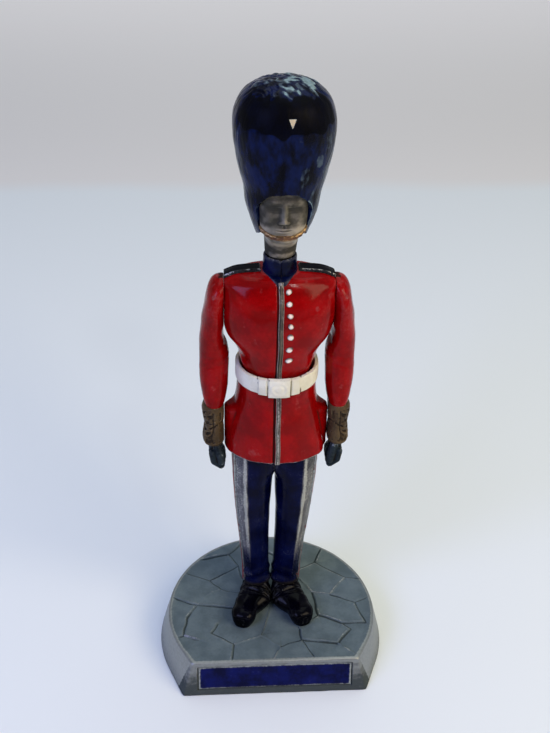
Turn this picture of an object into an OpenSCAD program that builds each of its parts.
// Toy soldier on a paved base: separate castings pegged together, with a turning head and swinging arms.
// Millimetres. +Z is up, the figure faces -Y, and the origin is at the middle of the base's underside.
// "Left" and "right" are the figure's own: its left side is at +X.

/* [Base] */
// Radius of the round back of the base, at the top
base_r = 20; // [18:0.5:24]
// Height of the base
base_h = 7; // [6:0.5:10]
// How far the base's walls lean out from top to bottom
base_flare = 1.8; // [0.8:0.2:2.6]
// Distance from the centre of the round back to the flat front, at the top
base_front = 13.3; // [11:0.1:15]
// Half the width of the flat front, at the top
base_front_half = 15.5; // [14:0.1:16.5]
// Distance from the centre of the round back to the figure's upright axis
stand_back = 4.65; // [3:0.05:6]
// Width of the joints between the paving stones
paving_joint_w = 0.4; // [0.2:0.05:0.6]
// Depth of the joints between the paving stones
paving_joint_depth = 0.3; // [0.15:0.05:0.5]
// Rim left beside the coloured panel on the front
panel_rim_side = 1.1; // [0.6:0.1:2]
// Rim left above the coloured panel
panel_rim_top = 1; // [0.5:0.1:1.6]
// Rim left below the coloured panel
panel_rim_bottom = 1.3; // [0.6:0.1:1.8]
// Depth of the recess that the panel fills
panel_depth = 0.9; // [0.6:0.1:1.4]
// How far the panel stays under the rim of its recess
panel_sunk = 0.25; // [0.1:0.05:0.4]

/* [Legs] */
// Height of the tunic's hem above the paving
leg_h = 38.5; // [34:0.5:43]
// Gap between a thigh and the inside of the hem
hip_gap = 0.85; // [0.5:0.05:1.1]
// Half the width across both ankles
ankle_half = 5.4; // [5:0.05:5.9]
// Widest gap between the legs
leg_gap = 1.0; // [0.6:0.1:1.4]
// Depth of a thigh, front to back
thigh_depth = 9.6; // [8.6:0.1:10.4]
// Depth of a trouser leg at the ankle
ankle_depth = 6.4; // [5.8:0.1:7]
// Length of a boot
boot_l = 13.9; // [12.5:0.1:15]
// Width of a boot at its widest
boot_w = 4.6; // [4.2:0.1:5.2]
// How far each toe turns out
toe_out = 18; // [10:1:24]
// Height of the trouser's front edge above the paving
trouser_clear = 4.4; // [3.8:0.1:5]
// How far the stripe stands out from the trouser
stripe_proud = 0.25; // [0.15:0.05:0.4]
// Width of the stripe down the trouser
stripe_w = 0.9; // [0.6:0.1:1.4]
// How far in front of the leg's middle the stripe runs
stripe_forward = 1.4; // [0.4:0.1:2]

/* [Tunic] */
// Height of the tunic's skirt, from the hem to the waist
skirt_h = 13.7; // [12:0.1:15]
// Half the width of the hem
hem_half = 9; // [8.4:0.1:9.4]
// Thickness of the cloth at the hem
hem_wall = 0.5; // [0.4:0.05:0.7]
// Half the depth of the hem
hem_depth = 8; // [7.4:0.1:8.6]
// Depth of the hollow under the hem
hem_lip = 1.2; // [0.8:0.1:2]
// Half the width of the waist
waist_half = 5.6; // [5.2:0.1:5.8]
// Half the depth of the waist, at the front
waist_front = 5.65; // [5.2:0.05:6]
// Half the depth of the waist, at the back
waist_back = 5.25; // [4.8:0.05:5.6]
// Half the width between the flat faces that the arms turn against
shoulder_half = 9; // [8.6:0.05:9.2]
// Half the depth of the chest, at the front
chest_front = 6.8; // [6.2:0.1:7.4]
// Half the depth of the back, at the shoulder blades
chest_back = 6; // [5.4:0.1:6.6]
// Height of the belt
belt_h = 3; // [2.6:0.1:3.6]
// Thickness of the belt
belt_t = 0.75; // [0.5:0.05:1]
// Gap between the belt and the waist, at the sides
belt_slack = 0.75; // [0.6:0.05:0.9]
// Width of the belt's clasp
clasp_w = 3.7; // [3:0.1:4.4]
// Number of buttons down the chest
button_count = 7; // [5:1:9]
// Radius of a button
button_r = 0.58; // [0.4:0.02:0.7]
// Width of the edging down the tunic's front
edging_w = 0.85; // [0.5:0.05:1]
// Height of the web between the skirt and the hanging arm
web_h = 8.8; // [7:0.2:9.6]
// How far the edging stands out
edging_proud = 0.22; // [0.15:0.01:0.35]
// Height of the standing collar
collar_h = 2.8; // [2.2:0.1:3.2]
// Thickness of the collar
collar_t = 0.5; // [0.4:0.05:0.8]
// Width of a shoulder strap
strap_w = 2.4; // [2:0.1:3]
// How far behind the middle of the shoulder the strap lies
strap_back = 0.3; // [0:0.1:0.8]
// Thickness of a shoulder strap
strap_t = 0.45; // [0.3:0.05:0.6]

/* [Arms] */
// Length of an arm from the top of the shoulder to the sleeve's end
sleeve_l = 24; // [22:0.2:26]
// Height of the top of the shoulder above the waist
shoulder_rise = 19.1; // [18.4:0.1:19.6]
// Height of the collar's seam above the tops of the shoulders
neck_rise = 1.1; // [0.8:0.1:1.6]
// Depth of the rounded shoulder, front to back
shoulder_depth = 7.8; // [7:0.1:8.4]
// Width of the arm at the elbow
elbow_w = 4.2; // [3.9:0.1:4.6]
// Depth of the arm at the elbow
elbow_depth = 5.5; // [5:0.1:6]
// Length of a cuff
cuff_l = 7.4; // [6.4:0.1:8.2]
// Width of a cuff
cuff_w = 3.2; // [3:0.05:3.6]
// Length of a closed hand
hand_l = 5.2; // [4.6:0.1:6]
// Width of a closed hand
hand_w = 3.7; // [3.2:0.05:4]
// Depth of a closed hand, front to back
hand_depth = 4.7; // [4.2:0.1:5.2]
// Radius of the pin that an arm swings on
pin_r = 1.2; // [0.9:0.05:1.4]
// How far the pin reaches into the body
pin_in_body = 4; // [3:0.1:4.6]
// How far the pin reaches into the arm
pin_in_arm = 2.1; // [1.6:0.1:2.4]

/* [Head] */
// Radius of the neck inside the collar
neck_in_r = 2; // [1.9:0.05:2.2]
// Radius of the neck above the collar
neck_r = 2.4; // [2.2:0.05:2.6]
// Height from the collar's seat to the underside of the chin
neck_h = 7.2; // [6.6:0.1:8]
// Height from the chin to the brim of the cap
face_h = 8.6; // [8:0.1:9.4]
// Half the width of the face at the cheeks
face_half = 4.2; // [3.9:0.05:4.4]
// Distance from the neck's axis to the front of the face
face_front = 5.9; // [5.6:0.05:6.1]
// Radius of the peg under the neck
neck_peg_r = 1.5; // [1.3:0.05:1.7]
// Length of the peg under the neck
neck_peg_l = 5.2; // [4:0.1:6]
// Height of the fur cap above the brim
cap_h = 15.3; // [13:0.1:18]
// Half the width of the fur cap at its widest
cap_half = 7.75; // [7:0.05:8.4]
// Half the depth of the fur cap at its widest
cap_depth = 7.9; // [7.2:0.05:8.6]
// Width of the chin strap
chin_strap_w = 0.95; // [0.7:0.05:1.2]
// Thickness of the chin strap
chin_strap_t = 0.32; // [0.25:0.01:0.45]

/* [Fits] */
// Gap between a turning piece's flat face and what it turns against
turn_gap = 0.2; // [0.15:0.01:0.3]
// Gap under the neck, which rests on the seat inside the collar
seat_gap = 0.05; // [0.02:0.01:0.1]
// Radial clearance of a pin that turns in its bore
pin_clear = 0.05; // [0.02:0.01:0.08]
// Clearance round a fixed peg in its socket
peg_clear = 0.04; // [0.02:0.01:0.1]
// Radius of the pegs that join fixed castings
peg_r = 1.3; // [1:0.05:1.5]
// Length of the pegs that join fixed castings
peg_l = 3.4; // [2.4:0.1:4]

/* [Hidden] */

sides = 32;
steps = 3;
big = 200;
right = -1;
left = 1;

// Heights and places that the pieces share
base_y = (base_front - base_r) / 2;
axis_y = base_y + stand_back;
hem_z = base_h + leg_h;
leg_top_z = hem_z + hem_lip;
waist_z = hem_z + skirt_h;
torso_h = shoulder_rise + neck_rise;
collar_z = waist_z + torso_h;
shoulder_z = waist_z + shoulder_rise;
strap_drop = 2.6;
pivot_z = shoulder_z - shoulder_depth / 2;
arm_in_x = shoulder_half + turn_gap;
side_x = hem_half + turn_gap;
cuff_z = shoulder_z - sleeve_l;
wrist_z = cuff_z - cuff_l;
head_z = collar_z + seat_gap;
collar_in_r = neck_in_r + turn_gap;
collar_out_r = collar_in_r + collar_t;
chin_z = collar_z + neck_h;
brim_z = chin_z + face_h;
cap_top_z = brim_z + cap_h;

// Smooth rows of numbers: a curve through every key row, with steps rows for each gap
function key(rows, i) = rows[min(max(i, 0), len(rows) - 1)];
function curve(a, b, c, d, t) =
    b + (c - a) * t / 2 + (2 * a - 5 * b + 4 * c - d) * t * t / 2 + (3 * b - a - 3 * c + d) * t * t * t / 2;
function smooth_rows(rows) = [
    for (i = [0 : len(rows) - 2])
        for (k = [0 : steps - 1])
            curve(key(rows, i - 1), rows[i], rows[i + 1], key(rows, i + 2), k / steps),
    rows[len(rows) - 1]
];

// A row is [height, centre x, centre y, half width, front depth, back depth, squareness].
// Squareness 2 gives an ellipse, and more gives squarer corners.
function bent(v, power) = sign(v) * pow(abs(v), power);
function ring(row, grow) = [
    for (k = [0 : sides - 1])
        let (a = 360 * k / sides, power = 2 / row[6], depth = sin(a) < 0 ? row[4] : row[5])
        [
            row[1] + (row[3] + grow) * bent(cos(a), power),
            row[2] + (depth + grow) * bent(sin(a), power),
            row[0]
        ]
];
function row_at(rows, z) =
    let (i = max([for (k = [0 : len(rows) - 2]) if (rows[k][0] <= z) k]))
    rows[i] + (rows[i + 1] - rows[i]) * (z - rows[i][0]) / (rows[i + 1][0] - rows[i][0]);
function front_y(rows, x, z) =
    let (row = row_at(smooth_rows(rows), z))
    row[2] - row[4] * pow(1 - pow(abs(x - row[1]) / row[3], row[6]), 1 / row[6]);

// A closed skin over the rings of some key rows
module loft(rows, grow = 0) {
    rings = [for (row = smooth_rows(rows)) ring(row, grow)];
    count = len(rings);
    points = [for (r = rings) for (p = r) p];
    walls = [
        for (i = [0 : count - 2])
            for (k = [0 : sides - 1])
                let (a = i * sides + k, b = i * sides + (k + 1) % sides, c = b + sides, d = a + sides)
                each [[a, d, c], [a, c, b]]
    ];
    floor_face = [for (k = [0 : sides - 1]) k];
    roof_face = [for (k = [sides - 1 : -1 : 0]) (count - 1) * sides + k];
    polyhedron(points, concat(walls, [floor_face, roof_face]), convexity = 6);
}

module both_sides() {
    children();
    mirror([1, 0, 0]) children();
}

module on_side(side) {
    mirror([side < 0 ? 1 : 0, 0, 0]) children();
}

// What lies below a plane that meets the figure's axis at height z and rises towards the front
module below(z, slope) {
    translate([0, axis_y, z])
        rotate([-slope, 0, 0])
            translate([-big / 2, -big / 2, -big])
                cube(big);
}

module box_between(low, high) {
    translate(low) cube(high - low);
}

// Base

wall_lean = atan(base_flare / base_h);
slab_t = 0.01;
panel_w = 2 * (base_front_half - panel_rim_side);
panel_h = base_h / cos(wall_lean) - panel_rim_top - panel_rim_bottom;
panel_up = (panel_rim_bottom - panel_rim_top) / 2;

// Joints of the paving, as rows of points from the middle of the base's round back
paving_lines = [
    [[-17.5, 10], [-12, 7.5], [-10, 5], [-6, 4]],
    [[-12, 7.5], [-6, 11.5], [-5.5, 8]],
    [[-14, 13.5], [-8, 15], [-4.5, 19]],
    [[-8, 15], [-6, 11.5]],
    [[-19.5, 3.5], [-14.5, 1], [-7, 0]],
    [[-14.5, 1], [-11.5, 4.5], [-10, 5]],
    [[-14.5, 1], [-16.5, -2], [-17, -6.5], [-18.5, -7]],
    [[-17, -6.5], [-14.5, -7.5]],
    [[-10.5, -4], [-12, -6], [-7.5, -9], [-8, -13.3]],
    [[-7.5, -9], [-2.5, -7], [1, -10], [-0.5, -13.3]],
    [[-2.5, -7], [-1.5, -5], [0, 0]],
    [[1, -10], [5.5, -8.5], [5, -6]],
    [[5.5, -8.5], [12, -9.5], [15, -6], [13.5, -4.5]],
    [[5.5, -8.5], [7.5, -13.3]],
    [[12, -9.5], [15.5, -12.5]],
    [[11.5, 16], [9.5, 12], [6, 10]],
    [[9.5, 12], [15.5, 7.5], [18.5, 7]],
    [[5, 9], [8.5, 3.5], [12, 3], [14, 6], [15.5, 7.5]],
    [[12, 3], [16.5, 0.5], [19.7, 2]],
    [[16.5, 0.5], [18, -4.5], [13.5, -4.5], [9, -2.5]],
    [[8.5, 3.5], [9, -2.5], [7.5, -3.5]],
    [[6, 10], [1.5, 14], [-4.5, 19]],
    [[1.5, 14], [4, 19.5]]
];

// The base's plan, with its walls pushed out by grow
module base_outline(grow) {
    r = base_r + grow;
    half = base_front_half + grow;
    front = base_front + grow;
    side = 25;
    intersection() {
        union() {
            circle(r = r, $fn = 72);
            polygon([[-half, -front], [half, -front], r * [cos(side), -sin(side)], r * [-cos(side), -sin(side)]]);
        }
        translate([-big / 2, -front]) square(big);
    }
}

module base_slab(grow, z) {
    translate([0, base_y, z])
        linear_extrude(slab_t)
            base_outline(grow);
}

module paving_joints() {
    for (line = paving_lines)
        for (i = [0 : len(line) - 2])
            let (from = line[i], run = line[i + 1] - from)
            translate([from[0], base_y + from[1], base_h - paving_joint_depth])
                rotate([0, 0, atan2(run[1], run[0])])
                    translate([-paving_joint_w / 2, -paving_joint_w / 2, 0])
                        cube([norm(run) + paving_joint_w, paving_joint_w, 1]);
}

// The leaning front face, as a frame with x across, y up the face and z out of it
module on_front_face() {
    translate([0, base_y - base_front - base_flare / 2, base_h / 2])
        rotate([90 - wall_lean, 0, 0])
            children();
}

module boot_pegs(extra) {
    both_sides()
        translate([boot_peg_x, boot_peg_y, base_h - peg_l - extra])
            cylinder(r = peg_r + extra, h = peg_l + 2 * extra, $fn = 48);
}

module base() {
    color("slategray")
        difference() {
            hull() {
                base_slab(base_flare, 0);
                base_slab(0, base_h - slab_t);
            }
            paving_joints();
            on_front_face()
                translate([-panel_w / 2, panel_up - panel_h / 2, -panel_depth])
                    cube([panel_w, panel_h, big]);
            boot_pegs(peg_clear);
        }
}

module front_panel() {
    color("midnightblue")
        on_front_face()
            translate([-panel_w / 2, panel_up - panel_h / 2, -panel_depth])
                cube([panel_w, panel_h, panel_depth - panel_sunk]);
}

// Legs

// The trouser's lower edge is a plane that drops from the instep to the heel
hip_half = hem_half - hem_wall - hip_gap;
trouser_slope = 20;
trouser_z = base_h + trouser_clear - ankle_depth / 2 * tan(trouser_slope);
heel_y = axis_y + ankle_depth / 2 + 0.1;
heel_x = boot_w * 0.4;
boot_peg_x = heel_x + boot_l * 0.42 * sin(toe_out);
boot_peg_y = heel_y - boot_l * 0.42 * cos(toe_out);
leg_peg_x = hip_half * 0.5;

// One leg's key rows: the inner side runs close to the middle, the outer side leans in to the ankle
function leg_row(share, out, gap, deep, forward) =
    let (inner = gap / 2, z = base_h + 0.5 + (leg_top_z - base_h - 0.5) * share)
    [z, (out + inner) / 2, axis_y - forward, (out - inner) / 2, deep * 0.48, deep * 0.52, 2.2];
leg_rows = [
    leg_row(0, ankle_half, 0.1, ankle_depth * 1.02, 0.1),
    leg_row(0.1, ankle_half, 0.1, ankle_depth, 0.1),
    leg_row(0.2, ankle_half * 1.02, leg_gap * 0.55, ankle_depth * 0.99, 0),
    leg_row(0.36, ankle_half + (hip_half - ankle_half) * 0.28, leg_gap * 0.9, ankle_depth * 1.06, -0.1),
    leg_row(0.52, ankle_half + (hip_half - ankle_half) * 0.55, leg_gap, ankle_depth * 1.16, 0),
    leg_row(0.68, ankle_half + (hip_half - ankle_half) * 0.8, leg_gap * 0.45, thigh_depth * 0.89, 0),
    leg_row(0.82, hip_half * 0.99, 0.1, thigh_depth * 0.98, 0),
    leg_row(1, hip_half, 0.1, thigh_depth, 0)
];

// A boot's rows run from heel to toe: [along, across, height of the middle, half width, down, up, squareness]
boot_mid = 2.1;
boot_low = 2.5;
boot_rows = [
    [0, 0, boot_mid, boot_w * 0.16, boot_low * 0.8, 2, 2.3],
    [boot_l * 0.05, 0, boot_mid, boot_w * 0.36, boot_low, 2.6, 2.4],
    [boot_l * 0.18, 0, boot_mid, boot_w * 0.4, boot_low, 3.2, 2.4],
    [boot_l * 0.36, 0, boot_mid, boot_w * 0.41, boot_low, 2.9, 2.4],
    [boot_l * 0.54, 0, boot_mid, boot_w * 0.45, boot_low, 1.7, 2.4],
    [boot_l * 0.74, 0, boot_mid, boot_w * 0.5, boot_low, 1.25, 2.4],
    [boot_l * 0.9, 0, boot_mid, boot_w * 0.49, boot_low, 1.5, 2.3],
    [boot_l * 0.98, 0, boot_mid, boot_w * 0.35, boot_low * 0.85, 0.95, 2.3],
    [boot_l, 0, boot_mid, boot_w * 0.12, boot_low * 0.6, 0.2, 2.2]
];

module boot(side) {
    color("black")
        on_side(side) {
            difference() {
                translate([heel_x, heel_y, base_h])
                    rotate([0, 0, toe_out])
                        rotate([90, 0, 0])
                            loft(boot_rows);
                box_between([-big, -big, -big], [big, big, base_h]);
                box_between([-big, -big, 0], [0.02, big, big]);
                difference() {
                    box_between([-big / 2, -big / 2, base_h], [big / 2, big / 2, big]);
                    below(trouser_z, trouser_slope);
                }
            }
            translate([boot_peg_x, boot_peg_y, base_h - peg_l])
                cylinder(r = peg_r, h = peg_l + 0.5, $fn = 48);
        }
}

module leg_peg(extra) {
    translate([leg_peg_x, axis_y, leg_top_z - 0.5])
        cylinder(r = peg_r + extra, h = peg_l + 0.5 + extra, $fn = 48);
}

module trouser_leg(side) {
    color("midnightblue")
        on_side(side) {
            difference() {
                loft(leg_rows);
                below(trouser_z, trouser_slope);
            }
            leg_peg(0);
        }
}

module trouser_stripe(side) {
    color("firebrick")
        on_side(side)
            difference() {
                intersection() {
                    loft(leg_rows, stripe_proud);
                    box_between(
                        [hip_half / 2, axis_y - stripe_forward - stripe_w / 2, base_h + trouser_clear],
                        [big, axis_y - stripe_forward + stripe_w / 2, hem_z]
                    );
                }
                loft(leg_rows);
                below(trouser_z, trouser_slope);
            }
}

// Tunic

skirt_top_half = waist_half + belt_slack + 0.35;
belt_in_front = waist_front + 0.42;
belt_in_back = waist_back + 0.42;
edging_x = 0;
button_x = edging_x + 1.35;
waist_peg_r = 3;
web_r = 1.2;
waist_peg_l = 5;

skirt_rows = [
    [hem_z, 0, axis_y, hem_half, hem_depth, hem_depth * 0.97, 2.3],
    [hem_z + skirt_h * 0.2, 0, axis_y, hem_half * 0.955, hem_depth * 0.97, hem_depth * 0.94, 2.3],
    [hem_z + skirt_h * 0.5, 0, axis_y, hem_half * 0.85, hem_depth * 0.9, hem_depth * 0.87, 2.25],
    [hem_z + skirt_h * 0.8, 0, axis_y, skirt_top_half * 1.03, belt_in_front * 1.05, belt_in_back * 1.05, 2.15],
    [waist_z, 0, axis_y, skirt_top_half, belt_in_front + 0.4, belt_in_back + 0.4, 2.1]
];

function torso_row(share, half, front, back, square) =
    [waist_z + torso_h * share, 0, axis_y, half, front, back, square];
torso_rows = [
    torso_row(0, waist_half, waist_front, waist_back, 2.1),
    torso_row(0.09, waist_half, waist_front * 1.01, waist_back, 2.1),
    torso_row(0.18, waist_half * 1.11, waist_front * 1.06, waist_back * 1.03, 2.1),
    torso_row(0.31, shoulder_half * 0.785, chest_front * 0.94, chest_back * 0.95, 2.15),
    torso_row(0.38, shoulder_half * 0.885, chest_front * 0.97, chest_back * 0.97, 2.2),
    torso_row(0.45, shoulder_half * 0.98, chest_front * 0.99, chest_back * 0.99, 2.2),
    torso_row(0.59, shoulder_half * 1.03, chest_front, chest_back, 2.3),
    torso_row(0.73, shoulder_half * 1.05, chest_front * 0.94, chest_back * 0.96, 2.4),
    torso_row(0.84, shoulder_half * 1.05, chest_front * 0.82, chest_back * 0.88, 2.4),
    torso_row(0.92, shoulder_half * 1.05, chest_front * 0.69, chest_back * 0.76, 2.3),
    torso_row(0.965, shoulder_half * 0.89, chest_front * 0.6, chest_back * 0.67, 2.2),
    torso_row(1, collar_out_r + 0.4, collar_out_r + 0.4, collar_out_r + 0.4, 2)
];

module torso_skin(grow = 0) {
    intersection() {
        loft(torso_rows, grow);
        box_between([-shoulder_half, -big, 0], [shoulder_half, big, big]);
    }
}

// A closed 2D outline round the waist: half width, front and back depth
module waist_outline(half, front, back) {
    translate([0, axis_y])
        polygon([for (p = ring([0, 0, 0, half, front, back, 2.1], 0)) [p[0], p[1]]]);
}

module belt_outline(out) {
    waist_outline(waist_half + belt_slack + out, belt_in_front + out, belt_in_back + out);
}

// A strip of the tunic's front that stands out from the skin under it
module front_strip(x, w, low, high) {
    box_between([x - w / 2, axis_y - big, low], [x + w / 2, axis_y, high]);
}

// The web that fills the corner between the skirt's side and the hanging arm
module side_web() {
    hull()
        for (z = [hem_z + web_r, hem_z + web_h - web_r])
            translate([hem_half - web_r, axis_y - web_r, z])
                sphere(r = web_r, $fn = 20);
}

module tunic_skirt() {
    color("firebrick")
        difference() {
            union() {
                loft(skirt_rows);
                both_sides() side_web();
            }
            intersection() {
                loft(skirt_rows, -hem_wall);
                box_between([-big, -big, 0], [big, big, leg_top_z]);
            }
            both_sides() leg_peg(peg_clear);
            translate([0, axis_y, waist_z - waist_peg_l - peg_clear])
                cylinder(r = waist_peg_r + peg_clear, h = big, $fn = 64);
        }
}

module skirt_edging() {
    color("gray")
        difference() {
            intersection() {
                loft(skirt_rows, edging_proud);
                front_strip(edging_x, edging_w, hem_z, waist_z);
            }
            loft(skirt_rows);
        }
}

module belt() {
    color("ivory")
        translate([0, 0, waist_z])
            linear_extrude(belt_h)
                difference() {
                    belt_outline(belt_t);
                    belt_outline(0);
                }
}

module belt_plate(x, w, proud, h) {
    translate([0, 0, waist_z + (belt_h - h) / 2])
        linear_extrude(h)
            intersection() {
                difference() {
                    belt_outline(belt_t + proud);
                    belt_outline(belt_t);
                }
                translate([x - w / 2, axis_y - big]) square([w, big]);
            }
}

module belt_clasp() {
    color("ivory") belt_plate(edging_x, clasp_w, 0.4, belt_h + 0.7);
}

module belt_keepers() {
    keeper_w = 1.5;
    color("ivory")
        for (side = [right, left])
            belt_plate(edging_x + side * (clasp_w + keeper_w + 0.2) / 2, keeper_w, 0.25, belt_h + 0.2);
}

module shoulder_bore() {
    translate([shoulder_half - pin_in_body - 0.2, axis_y, pivot_z])
        rotate([0, 90, 0])
            cylinder(r = pin_r + pin_clear, h = big, $fn = 48);
}

module tunic_body() {
    color("firebrick") {
        difference() {
            torso_skin();
            both_sides() shoulder_bore();
            translate([0, axis_y, collar_z - neck_peg_l - 0.3])
                cylinder(r = neck_peg_r + pin_clear, h = big, $fn = 48);
        }
        translate([0, axis_y, waist_z - waist_peg_l])
            cylinder(r = waist_peg_r, h = waist_peg_l + 0.5, $fn = 64);
    }
}

module tunic_edging() {
    color("gray")
        difference() {
            intersection() {
                loft(torso_rows, edging_proud);
                front_strip(edging_x, edging_w, waist_z + belt_h, collar_z - 0.3);
            }
            loft(torso_rows);
        }
}

module tunic_buttons() {
    first_z = waist_z + belt_h + 3.8;
    last_z = collar_z - 1.7;
    pitch = (last_z - first_z) / (button_count - 1);
    color("white")
        difference() {
            for (i = [0 : button_count - 1])
                let (z = first_z + i * pitch)
                translate([button_x, front_y(torso_rows, button_x, z) + button_r * 0.35, z])
                    sphere(r = button_r, $fn = 24);
            loft(torso_rows);
        }
}

module collar() {
    color("midnightblue")
        translate([0, axis_y, collar_z])
            difference() {
                cylinder(r = collar_out_r, h = collar_h, $fn = 64);
                translate([0, 0, -1]) cylinder(r = collar_in_r, h = big, $fn = 64);
            }
}

module shoulder_strap(side) {
    color("midnightblue")
        on_side(side)
            difference() {
                intersection() {
                    loft(torso_rows, strap_t);
                    box_between(
                        [collar_out_r + 0.3, axis_y + strap_back - strap_w / 2, collar_z - strap_drop],
                        [shoulder_half, axis_y + strap_back + strap_w / 2, big]
                    );
                }
                loft(torso_rows);
            }
}

// Arms

// An arm's rows: depth below the shoulder's top, inner and outer x, depth and how far forward it hangs
function arm_row(down, inner, outer, deep, forward, square) =
    [shoulder_z - down, (inner + outer) / 2, axis_y - forward, (outer - inner) / 2, deep / 2, deep / 2, square];
arm_low_x = max(arm_in_x, side_x) - 0.25;
arm_out_x = arm_low_x + elbow_w;
cap_r = shoulder_depth / 2;
cuff_in_x = side_x + 0.1;
fist_low_z = wrist_z - hand_l * 0.42;
beside_hem = min(max(fist_low_z - hem_z + 0.75, 0), 1);
hand_in_x = hip_half + 0.6 + (cuff_in_x - hip_half - 0.6) * beside_hem;
cuff_end = sleeve_l + cuff_l;
sleeve_rows = [
    arm_row(sleeve_l, arm_low_x + 0.15, cuff_in_x + cuff_w - 0.25, elbow_depth * 0.84, 1.2, 2.2),
    arm_row(sleeve_l * 0.88, arm_low_x - 0.5, arm_out_x - 0.25, elbow_depth * 0.9, 0.9, 2.2),
    arm_row(sleeve_l * 0.73, arm_low_x - 0.75, arm_out_x, elbow_depth * 0.98, 0.3, 2.2),
    arm_row(sleeve_l * 0.59, arm_low_x - 0.8, arm_out_x - 0.02, elbow_depth, -0.1, 2.2),
    arm_row(sleeve_l * 0.45, arm_low_x + 0.05, arm_out_x - 0.15, elbow_depth * 1.08, -0.1, 2.2),
    arm_row(sleeve_l * 0.3, arm_in_x - 0.4, arm_out_x - 0.6, cap_r * 1.8, 0, 2.1),
    arm_row(cap_r, arm_in_x - 0.5, arm_out_x - 1.15, cap_r * 2, 0, 2.1),
    arm_row(cap_r * 0.46, arm_in_x - 0.8, arm_out_x - 1.65, cap_r * 1.68, 0, 2.1),
    arm_row(cap_r * 0.16, arm_in_x - 1.2, arm_out_x - 2.25, cap_r * 1.08, 0, 2.1),
    arm_row(0, arm_in_x - 1.2, arm_out_x - 3.2, cap_r * 0.4, 0, 2)
];
cuff_rows = [
    arm_row(cuff_end, cuff_in_x, cuff_in_x + cuff_w, elbow_depth * 0.86, 1.9, 2.3),
    arm_row(sleeve_l + cuff_l * 0.5, cuff_in_x - 0.1, cuff_in_x + cuff_w, elbow_depth * 0.88, 1.6, 2.3),
    arm_row(sleeve_l, arm_low_x + 0.15, cuff_in_x + cuff_w - 0.1, elbow_depth * 0.9, 1.2, 2.3)
];
hand_rows = [
    arm_row(cuff_end + hand_l, hand_in_x + hand_w * 0.25, hand_in_x + hand_w * 0.75, hand_depth * 0.5, 2.3, 2.2),
    arm_row(cuff_end + hand_l * 0.92, hand_in_x + hand_w * 0.08, hand_in_x + hand_w * 0.92, hand_depth * 0.84, 2.4, 2.4),
    arm_row(cuff_end + hand_l * 0.66, hand_in_x, hand_in_x + hand_w, hand_depth, 2.4, 2.5),
    arm_row(cuff_end + hand_l * 0.42, hand_in_x + hand_w * 0.12, hand_in_x + hand_w, hand_depth * 0.97, 2.2, 2.4),
    arm_row(cuff_end + hand_l * 0.2, cuff_in_x, hand_in_x + hand_w * 0.98, hand_depth * 0.86, 2, 2.3),
    arm_row(cuff_end, cuff_in_x + 0.2, hand_in_x + hand_w * 0.94, hand_depth * 0.76, 1.9, 2.2)
];

// What the arm keeps clear of: the face that it turns against
module beside_body() {
    box_between([-big, -big, pivot_z - cap_r * 2.1], [arm_in_x, big, big]);
}

module shoulder_pin(side) {
    color("silver")
        on_side(side)
            translate([shoulder_half - pin_in_body, axis_y, pivot_z])
                rotate([0, 90, 0])
                    cylinder(r = pin_r, h = pin_in_body + turn_gap + pin_in_arm, $fn = 48);
}

module sleeve(side) {
    color("firebrick")
        on_side(side)
            difference() {
                loft(sleeve_rows);
                beside_body();
                translate([arm_in_x - 1, axis_y, pivot_z])
                    rotate([0, 90, 0])
                        cylinder(r = pin_r, h = pin_in_arm + 1, $fn = 48);
            }
}

module cuff(side) {
    color("darkgoldenrod") on_side(side) loft(cuff_rows);
}

module hand(side) {
    color("black") on_side(side) loft(hand_rows);
}

// Head

head_y = axis_y - 0.6;
cheek_back = face_half * 1.32;
chin_front = face_front - 0.6;

function head_row(z, half, front, back) = [z, 0, head_y, half, front, back, 2.1];
neck_z = collar_z + collar_h + turn_gap;
neck_rows = [
    [neck_z, 0, axis_y, neck_r, neck_r, neck_r, 2],
    [neck_z + (chin_z - neck_z) * 0.3, 0, axis_y, neck_r, neck_r, neck_r, 2],
    head_row(neck_z + (chin_z - neck_z) * 0.62, neck_r * 1.1, neck_r * 1.16, neck_r * 1.34)
];
face_rows = [
    head_row(chin_z - 0.5, face_half * 0.66, chin_front * 0.78, cheek_back * 0.72),
    head_row(chin_z + face_h * 0.02, face_half * 0.74, chin_front * 0.96, cheek_back * 0.8),
    head_row(chin_z + face_h * 0.2, face_half * 0.87, chin_front, cheek_back * 0.92),
    head_row(chin_z + face_h * 0.44, face_half * 0.97, chin_front, cheek_back),
    head_row(chin_z + face_h * 0.68, face_half, chin_front * 1.01, cheek_back * 1.03),
    head_row(brim_z, face_half * 1.01, chin_front * 1.03, cheek_back * 1.05),
    head_row(brim_z + 2.4, face_half * 0.97, chin_front * 0.98, cheek_back),
    head_row(brim_z + 4, face_half * 0.8, chin_front * 0.8, cheek_back * 0.8)
];

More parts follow.
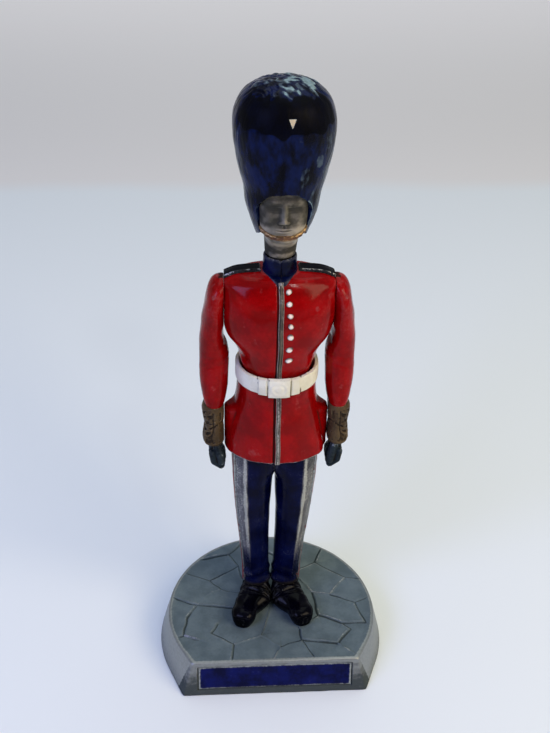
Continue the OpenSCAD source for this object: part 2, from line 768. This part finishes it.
function cap_row(z, wide, front, back) =
    [z, 0, head_y, cap_half * wide, cap_depth * front, cap_depth * back, 2.1];
nape_z = chin_z - 1.4;
cap_rows = [
    cap_row(nape_z, 0.46, 0.5, 0.6),
    cap_row(nape_z + face_h * 0.19, 0.54, 0.57, 0.66),
    cap_row(nape_z + face_h * 0.42, 0.635, 0.66, 0.73),
    cap_row(nape_z + face_h * 0.68, 0.72, 0.74, 0.79),
    cap_row(brim_z - face_h * 0.1, 0.785, 0.8, 0.83),
    cap_row(brim_z + cap_h * 0.09, 0.86, 0.87, 0.89),
    cap_row(brim_z + cap_h * 0.28, 0.94, 0.94, 0.95),
    cap_row(brim_z + cap_h * 0.48, 0.995, 0.99, 0.99),
    cap_row(brim_z + cap_h * 0.64, 0.995, 1, 1),
    cap_row(brim_z + cap_h * 0.8, 0.89, 0.9, 0.9),
    cap_row(brim_z + cap_h * 0.92, 0.66, 0.67, 0.66),
    cap_row(brim_z + cap_h * 0.985, 0.33, 0.34, 0.33),
    cap_row(cap_top_z, 0.06, 0.06, 0.06)
];

module head_skin(grow = 0) {
    loft(concat(neck_rows, face_rows), grow);
}

module head() {
    eye_z = chin_z + face_h * 0.66;
    color("tan") {
        difference() {
            head_skin();
            both_sides()
                translate([face_half * 0.42, head_y - chin_front * 1.05, eye_z])
                    sphere(r = 0.8, $fn = 24);
        }
        hull() {
            translate([0, head_y - chin_front * 0.93, eye_z]) sphere(r = 0.45, $fn = 16);
            translate([0, head_y - chin_front - 0.25, chin_z + face_h * 0.4]) sphere(r = 0.62, $fn = 16);
        }
        translate([0, axis_y, head_z])
            cylinder(r = neck_in_r, h = neck_z - head_z + 0.5, $fn = 48);
        translate([0, axis_y, collar_z - neck_peg_l])
            cylinder(r = neck_peg_r, h = neck_peg_l + seat_gap + 0.5, $fn = 48);
    }
}

// The open front of the cap, as an arch over the face
module face_window() {
    half = face_half + 0.15;
    translate([0, head_y - face_front * 0.2, 0])
        rotate([90, 0, 0])
            linear_extrude(big)
                polygon([
                    [-half * 1.3, nape_z - 5], [half * 1.3, nape_z - 5], [half * 1.02, chin_z + face_h * 0.55],
                    for (a = [0 : 15 : 180]) [half * cos(a), chin_z + face_h * 0.62 + face_h * 0.38 * sin(a)],
                    [-half * 1.02, chin_z + face_h * 0.55]
                ]);
}

module fur_cap() {
    color("black")
        difference() {
            loft(cap_rows);
            head_skin();
            face_window();
        }
}

module chin_strap() {
    slope = 24;
    strap_z = chin_z + face_h * 0.12;
    color("goldenrod")
        difference() {
            intersection() {
                loft(face_rows, chin_strap_t);
                translate([0, head_y - chin_front, strap_z])
                    rotate([slope, 0, 0])
                        translate([-big / 2, -big / 2, -chin_strap_w / 2])
                            cube([big, big, chin_strap_w]);
                translate([-big / 2, -big, 0]) cube([big, big + head_y - face_front * 0.2, big]);
            }
            head_skin();
        }
}

base();
front_panel();
boot(right);  // right_boot
boot(left);  // left_boot
trouser_leg(right);  // right_trouser_leg
trouser_leg(left);  // left_trouser_leg
trouser_stripe(right);  // right_trouser_stripe
trouser_stripe(left);  // left_trouser_stripe
tunic_skirt();
skirt_edging();
belt();
belt_clasp();
belt_keepers();
tunic_body();
tunic_edging();
tunic_buttons();
collar();
shoulder_strap(right);  // right_shoulder_strap
shoulder_strap(left);  // left_shoulder_strap
sleeve(right);  // right_sleeve
sleeve(left);  // left_sleeve
cuff(right);  // right_cuff
cuff(left);  // left_cuff
hand(right);  // right_hand
hand(left);  // left_hand
shoulder_pin(right);  // right_shoulder_pin
shoulder_pin(left);  // left_shoulder_pin
head();
fur_cap();
chin_strap();
